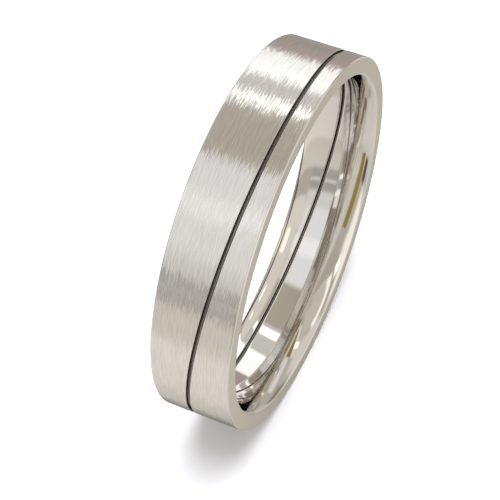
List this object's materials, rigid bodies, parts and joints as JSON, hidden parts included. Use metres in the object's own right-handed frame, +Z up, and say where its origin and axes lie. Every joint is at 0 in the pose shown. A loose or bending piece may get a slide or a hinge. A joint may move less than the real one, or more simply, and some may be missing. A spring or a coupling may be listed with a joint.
{
  "type": "wedding band",
  "caption": "Satin-brushed metal finger ring with a flat outside, a slanting open groove round it and a polished comfort-fit bore.",
  "frame": {"origin": "centre of the finger hole, at mid-width", "axes": "+Y along the finger, from the front end face to the rear one; +Z up, so the ring stands on its rim; the seam leans towards -Y at the top"},
  "size_m": [0.0194, 0.004, 0.0194],
  "materials": {
    "front_alloy": "satin-brushed round the outside, polished bore and end face",
    "rear_alloy": "satin-brushed round the outside, polished bore and end face",
    "solder": "as-flowed solder, hidden in the seam"
  },
  "bodies": {
    "root": {"front_half_band": "front_alloy", "rear_half_band": "rear_alloy", "solder_seam": "solder"}
  },
  "joints": []
}
